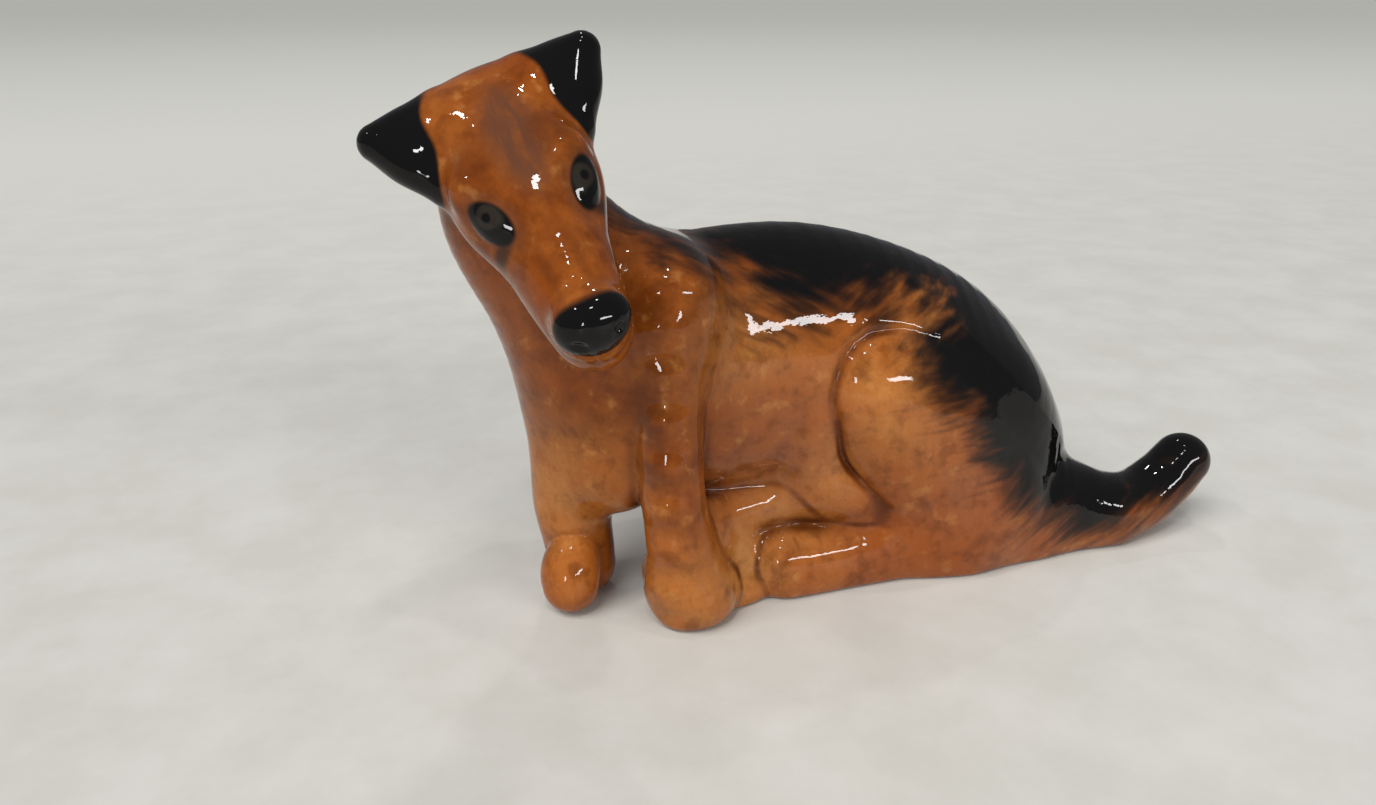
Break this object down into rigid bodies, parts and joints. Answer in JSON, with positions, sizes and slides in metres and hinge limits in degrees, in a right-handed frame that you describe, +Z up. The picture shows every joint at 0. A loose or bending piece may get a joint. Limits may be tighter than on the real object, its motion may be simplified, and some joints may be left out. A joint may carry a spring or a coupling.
{
  "type": "ceramic dog figurine",
  "caption": "Seated dog figurine in glazed ceramic, head turned to its left, hollow head and torso with legs, ears, haunches and tail stuck on, standing on flat soles.",
  "frame": {"origin": "middle of the bounding box's bottom face, on the surface that the figurine stands on", "axes": "+X from the chest to the tail tip, +Y towards the dog's right side, +Z up"},
  "size_m": [0.1048, 0.0376, 0.0642],
  "materials": {
    "saddle_glaze": "glossy clear glaze over tan with a brushed black saddle",
    "face_glaze": "glossy clear glaze over orange-tan, black nose and painted eyes",
    "ear_glaze": "glossy black",
    "leg_glaze": "glossy clear glaze over tan",
    "haunch_glaze": "glossy clear glaze over pinkish tan",
    "foot_glaze": "glossy clear glaze over mottled brown tan",
    "tail_glaze": "glossy black above, brushed into orange-tan below"
  },
  "bodies": {
    "root": {"torso_shell": "saddle_glaze", "head_shell": "face_glaze", "left_ear": "ear_glaze", "right_ear": "ear_glaze", "left_foreleg": "leg_glaze", "right_foreleg": "leg_glaze", "left_haunch": "haunch_glaze", "right_haunch": "haunch_glaze", "left_hind_foot": "foot_glaze", "right_hind_foot": "foot_glaze", "tail": "tail_glaze"}
  },
  "joints": []
}
